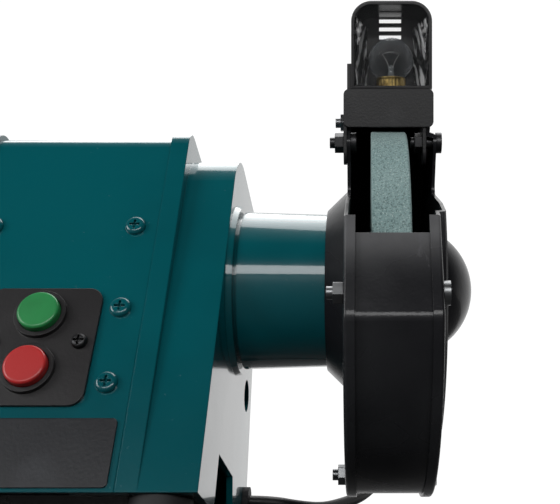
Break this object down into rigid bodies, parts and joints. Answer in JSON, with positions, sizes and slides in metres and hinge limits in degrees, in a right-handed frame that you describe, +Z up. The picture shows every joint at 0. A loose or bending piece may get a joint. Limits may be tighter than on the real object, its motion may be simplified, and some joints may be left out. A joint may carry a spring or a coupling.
{
  "type": "bench grinder",
  "caption": "Double-ended bench grinder: motor body on rubber feet, a guarded wheel and a tilting work lamp at each end, push-button switch in front.",
  "frame": {"origin": "on the bench, under the middle of the spindle and midway between the four bench holes", "axes": "+X along the spindle to the operator's right, -Y towards the operator, +Z up"},
  "size_m": [0.363, 0.21, 0.2358],
  "materials": {
    "teal_paint": "gloss enamel",
    "black_plate": "satin",
    "black_plastic": "moulded satin",
    "zinc_steel": "zinc plated",
    "green_plastic": "gloss",
    "red_plastic": "gloss",
    "black_steel": "semi-gloss powder coat",
    "rubber": "matte",
    "lamination": "stacked sheet",
    "copper_winding": "enamelled copper",
    "can_aluminium": "drawn can",
    "bright_steel": "ground",
    "abrasive": "vitrified grit, grey-green speckle",
    "cable_rubber": "smooth jacket",
    "lamp_plastic": "gloss black",
    "lens": "clear",
    "bulb_brass": "aged",
    "bulb_glass": "clear"
  },
  "bodies": {
    "frame": {"right_end_housing": "teal_paint", "left_end_housing": "teal_paint", "front_cover": "teal_paint", "rear_cover": "teal_paint", "front_cover_screws": "teal_paint", "rear_cover_screws": "teal_paint", "label_plate": "black_plate", "switch_plate": "black_plastic", "switch_body": "black_plastic", "mains_gland": "black_plastic", "switch_screws": "zinc_steel", "base_plate": "black_steel", "right_inner_guard": "black_steel", "left_inner_guard": "black_steel", "right_guard_band": "black_steel", "left_guard_band": "black_steel", "right_outer_guard": "black_steel", "left_outer_guard": "black_steel", "foot_front_left": "rubber", "foot_front_right": "rubber", "foot_rear_left": "rubber", "foot_rear_right": "rubber", "cable_grommets": "rubber", "stator_core": "lamination", "stator_windings": "copper_winding", "capacitor": "can_aluminium", "right_bearing_outer": "bright_steel", "left_bearing_outer": "bright_steel", "right_guard_bolts": "zinc_steel", "left_guard_bolts": "zinc_steel", "guard_mount_screws": "zinc_steel", "lamp_pivot_bolts": "zinc_steel", "right_lamp_cable": "cable_rubber", "left_lamp_cable": "cable_rubber"},
    "spindle": {"spindle": "bright_steel", "rotor_core": "lamination", "right_bearing_inner": "bright_steel", "left_bearing_inner": "bright_steel", "right_wheel": "abrasive", "left_wheel": "abrasive", "right_inner_flange": "zinc_steel", "left_inner_flange": "zinc_steel", "right_outer_flange": "zinc_steel", "left_outer_flange": "zinc_steel", "right_spindle_nut": "zinc_steel", "left_spindle_nut": "zinc_steel"},
    "right_lamp": {"right_lamp_bracket": "black_steel", "right_lamp_housing": "lamp_plastic", "right_lamp_lens": "lens", "right_lamp_socket": "lamp_plastic", "right_bulb_cap": "bulb_brass", "right_bulb_glass": "bulb_glass"},
    "left_lamp": {"left_lamp_bracket": "black_steel", "left_lamp_housing": "lamp_plastic", "left_lamp_lens": "lens", "left_lamp_socket": "lamp_plastic", "left_bulb_cap": "bulb_brass", "left_bulb_glass": "bulb_glass"},
    "start_button": {"start_button": "green_plastic"},
    "stop_button": {"stop_button": "red_plastic"}
  },
  "joints": [
    {"name": "spindle_spin", "type": "hinge", "parent": "frame", "child": "spindle", "pos_m": [0, 0, 0.115], "axis": [1, 0, 0], "continuous": true},
    {"name": "right_lamp_tilt", "type": "hinge", "parent": "frame", "child": "right_lamp", "pos_m": [0.1417, -0.04446, 0.169], "axis": [1, 0, 0], "range_deg": [0, 15]},
    {"name": "left_lamp_tilt", "type": "hinge", "parent": "frame", "child": "left_lamp", "pos_m": [-0.1417, -0.04446, 0.169], "axis": [1, 0, 0], "range_deg": [0, 15]},
    {"name": "start_press", "type": "slide", "parent": "frame", "child": "start_button", "axis": [0, 0.995, -0.0995], "range_m": [0, 0.003], "stiffness_N_per_m": 300},
    {"name": "stop_press", "type": "slide", "parent": "frame", "child": "stop_button", "axis": [0, 0.995, -0.0995], "range_m": [0, 0.003], "stiffness_N_per_m": 300}
  ]
}
